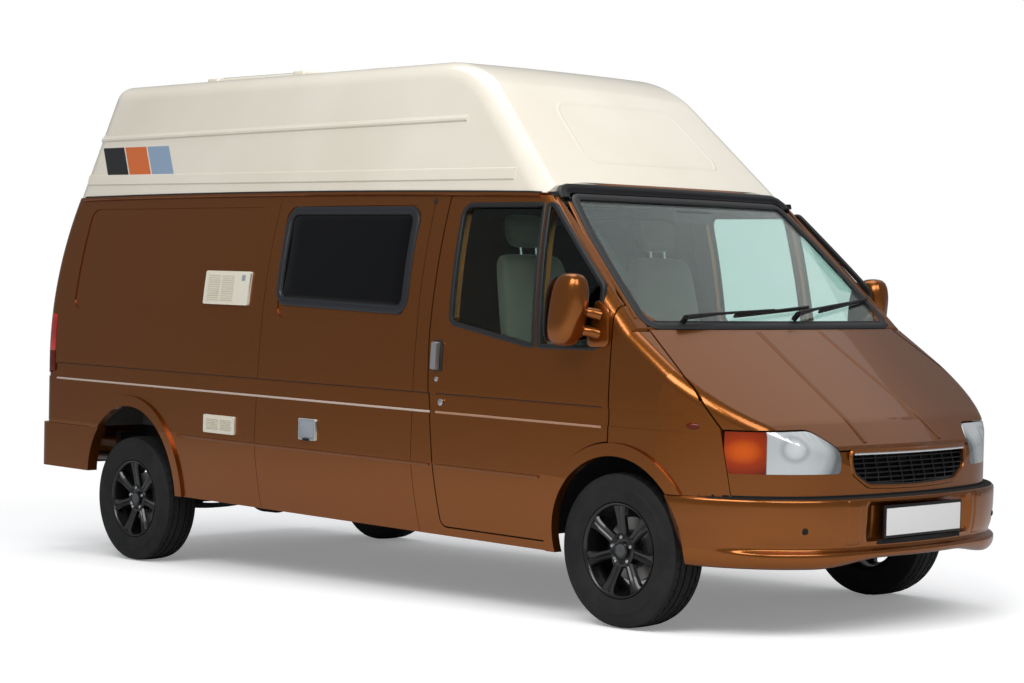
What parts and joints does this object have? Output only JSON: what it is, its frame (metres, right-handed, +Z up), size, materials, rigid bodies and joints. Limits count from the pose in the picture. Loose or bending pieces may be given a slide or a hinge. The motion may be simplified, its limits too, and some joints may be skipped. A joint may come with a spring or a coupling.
{
  "type": "camper van",
  "caption": "High-roof camper van with cab doors, side door, twin rear doors, bonnet, steered front wheels and a fitted load space",
  "frame": {"origin": "On the ground under the middle of the bounding box", "axes": "+X to the left side of the van, +Y to its rear, +Z up; the front looks along -Y"},
  "size_m": [2.24, 5.3624, 2.6318],
  "materials": {
    "body_paint": "metallic copper brown",
    "roof_paint": "cream moulded gel coat",
    "black_plastic": "grained black moulding",
    "grille_plastic": "black moulding",
    "lamp_lens": "clear lens",
    "tail_lens": "red and amber lens",
    "glass": "tinted clear glass",
    "window_black": "smoked acrylic in a grey frame",
    "vent_plastic": "cream moulding",
    "under_paint": "black chassis paint",
    "raw_steel": "machined steel",
    "engine_metal": "cast",
    "exhaust_metal": "heat-stained",
    "tyre_rubber": "road tyre",
    "wheel_paint": "gloss black",
    "seat_cloth": "beige and grey cloth",
    "trim_plastic": "grey moulding",
    "unit_wood": "light wood board",
    "floor_paint": "primed sheet"
  },
  "bodies": {
    "van_body": {"arch_trims": "body_paint", "bulkhead": "under_paint", "cab_seats": "seat_cloth", "camper_units": "unit_wood", "camper_windows": "window_black", "chassis_rails": "under_paint", "dashboard": "trim_plastic", "engine_block": "engine_metal", "exhaust": "exhaust_metal", "floor_pan": "floor_paint", "front_bumper": "body_paint", "front_panel": "body_paint", "front_suspension": "under_paint", "fuel_tank": "black_plastic", "headlamps": "lamp_lens", "high_roof": "roof_paint", "propshaft": "raw_steel", "radiator_grille": "grille_plastic", "rear_axle": "under_paint", "rear_bumper": "body_paint", "rear_frame": "body_paint", "rooflights": "window_black", "seat_bases": "under_paint", "service_vents": "vent_plastic", "side_wall_left": "body_paint", "side_wall_right": "body_paint", "sliding_door": "body_paint", "steering_wheel": "black_plastic", "tail_lamps": "tail_lens", "windscreen": "glass", "windscreen_frame": "body_paint", "windscreen_trim": "black_plastic", "wing_left": "body_paint", "wing_right": "body_paint"},
    "bonnet_body": {"bonnet": "body_paint"},
    "cab_door_right_body": {"cab_door_right": "body_paint", "door_glass_right": "glass", "mirror_right": "body_paint"},
    "cab_door_left_body": {"cab_door_left": "body_paint", "door_glass_left": "glass", "mirror_left": "body_paint"},
    "rear_door_right_body": {"rear_door_right": "body_paint", "rear_glass_right": "glass"},
    "rear_door_left_body": {"rear_door_left": "body_paint", "rear_glass_left": "glass"},
    "knuckle_right_body": {"knuckle_right": "raw_steel"},
    "knuckle_left_body": {"knuckle_left": "raw_steel"},
    "wheel_front_right": {"tyre_front_right": "tyre_rubber", "rim_front_right": "wheel_paint"},
    "wheel_front_left": {"tyre_front_left": "tyre_rubber", "rim_front_left": "wheel_paint"},
    "wheel_rear_right": {"tyre_rear_right": "tyre_rubber", "rim_rear_right": "wheel_paint"},
    "wheel_rear_left": {"tyre_rear_left": "tyre_rubber", "rim_rear_left": "wheel_paint"}
  },
  "joints": [
    {"name": "bonnet_hinge", "type": "hinge", "parent": "van_body", "child": "bonnet_body", "pos_m": [0, -1.8646, 1.2701], "axis": [-1, 0, 0], "range_deg": [0, 50]},
    {"name": "cab_door_right_hinge", "type": "hinge", "parent": "van_body", "child": "cab_door_right_body", "pos_m": [-0.972, -1.746, 1.0011], "axis": [0, -0.0262, 0.9997], "range_deg": [0, 70]},
    {"name": "rear_door_right_hinge", "type": "hinge", "parent": "van_body", "child": "rear_door_right_body", "pos_m": [-0.845, 2.631, 1.1157], "axis": [0, -0.0262, 0.9997], "range_deg": [0, 90]},
    {"name": "steer_right", "type": "hinge", "parent": "van_body", "child": "knuckle_right_body", "pos_m": [-0.7, -1.778, 0.332], "axis": [0, 0, 1], "range_deg": [-35, 35]},
    {"name": "cab_door_left_hinge", "type": "hinge", "parent": "van_body", "child": "cab_door_left_body", "pos_m": [0.972, -1.746, 1.0011], "axis": [0, 0.0262, -0.9997], "range_deg": [0, 70]},
    {"name": "rear_door_left_hinge", "type": "hinge", "parent": "van_body", "child": "rear_door_left_body", "pos_m": [0.845, 2.631, 1.1157], "axis": [0, 0.0262, -0.9997], "range_deg": [0, 90]},
    {"name": "steer_left", "type": "hinge", "parent": "van_body", "child": "knuckle_left_body", "pos_m": [0.7, -1.778, 0.332], "axis": [0, 0, 1], "range_deg": [-35, 35]},
    {"name": "wheel_front_right_spin", "type": "hinge", "parent": "knuckle_right_body", "child": "wheel_front_right", "pos_m": [-0.852, -1.778, 0.332], "axis": [1, 0, 0], "continuous": true},
    {"name": "wheel_front_left_spin", "type": "hinge", "parent": "knuckle_left_body", "child": "wheel_front_left", "pos_m": [0.852, -1.778, 0.332], "axis": [1, 0, 0], "continuous": true},
    {"name": "wheel_rear_right_spin", "type": "hinge", "parent": "van_body", "child": "wheel_rear_right", "pos_m": [-0.852, 1.792, 0.332], "axis": [1, 0, 0], "continuous": true},
    {"name": "wheel_rear_left_spin", "type": "hinge", "parent": "van_body", "child": "wheel_rear_left", "pos_m": [0.852, 1.792, 0.332], "axis": [1, 0, 0], "continuous": true}
  ],
  "couplings": [
    {"joint": "steer_left", "follows": "steer_right", "ratio": 1}
  ]
}
